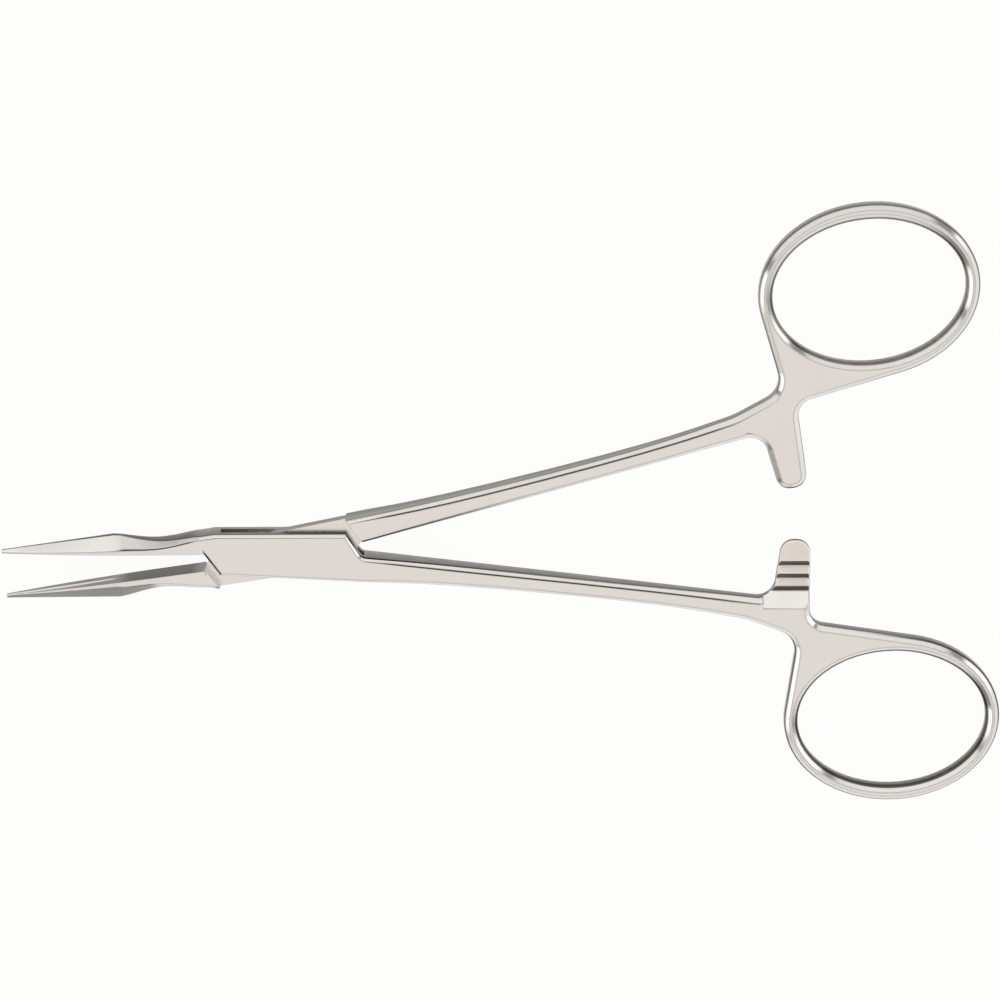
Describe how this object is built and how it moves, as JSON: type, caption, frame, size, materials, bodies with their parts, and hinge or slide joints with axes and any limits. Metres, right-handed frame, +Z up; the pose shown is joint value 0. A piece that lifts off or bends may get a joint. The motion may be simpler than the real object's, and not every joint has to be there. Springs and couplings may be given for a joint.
{
  "type": "splinter forceps",
  "caption": "Slim pointed splinter forceps with a box lock, finger rings and a toothed ratchet between the shanks.",
  "frame": {"origin": "underside of the box lock, on the pivot axis", "axes": "+X along the line midway between the halves towards the finger rings, +Z up out of the lying instrument, +Y towards the ring of the tongue half and the jaw of the box half"},
  "size_m": [0.1369, 0.0862, 0.0045],
  "materials": {
    "forged_steel": "medical stainless steel, satin ground faces with bright bevels",
    "pin_steel": "stainless rivet, ground flush with the box"
  },
  "bodies": {
    "box_half": {"box_half": "forged_steel", "lock_pin": "pin_steel"},
    "tongue_half": {"tongue_half": "forged_steel"}
  },
  "joints": [
    {"name": "box_lock", "type": "hinge", "parent": "box_half", "child": "tongue_half", "pos_m": [0, 0, 0], "axis": [0, 0, 1], "range_deg": [-8.6, 50]}
  ]
}
